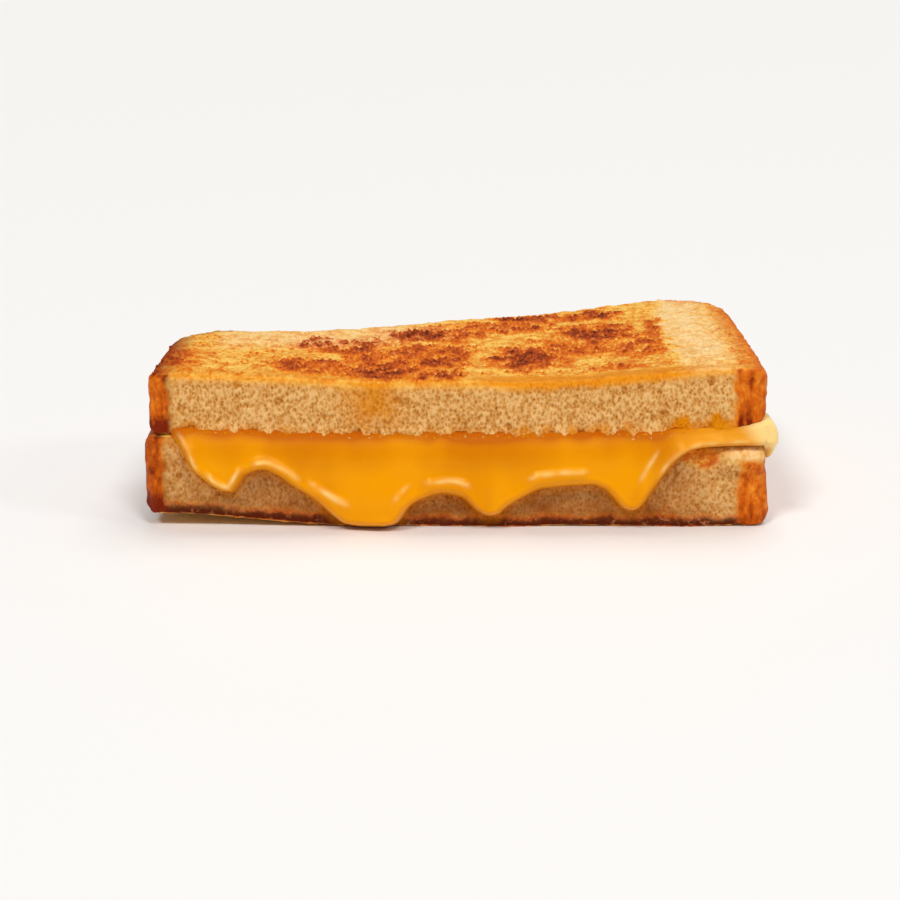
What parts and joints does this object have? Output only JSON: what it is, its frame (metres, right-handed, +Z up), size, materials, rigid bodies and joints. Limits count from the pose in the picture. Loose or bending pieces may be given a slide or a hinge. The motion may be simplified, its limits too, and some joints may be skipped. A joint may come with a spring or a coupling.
{
  "type": "grilled cheese sandwich",
  "caption": "Half of a toasted cheese sandwich with its cut side shown: two pan-browned slices of white bread and a sheet of melted orange cheese that drips over the cut.",
  "frame": {"origin": "middle of the lower slice's flat underside, on the surface it rests on, level with the middle of the cut along X", "axes": "+X along the cut towards the deep end, +Y away from the cut side, +Z up"},
  "size_m": [0.124, 0.0752, 0.0323],
  "materials": {
    "toasted_bread": "porous light tan crumb on the cut, golden faces with dark red-brown pan marks, orange-brown crust",
    "melted_cheese": "smooth glossy orange-yellow melted cheese"
  },
  "bodies": {
    "root": {"lower_slice": "toasted_bread", "upper_slice": "toasted_bread", "cheese": "melted_cheese"}
  },
  "joints": []
}
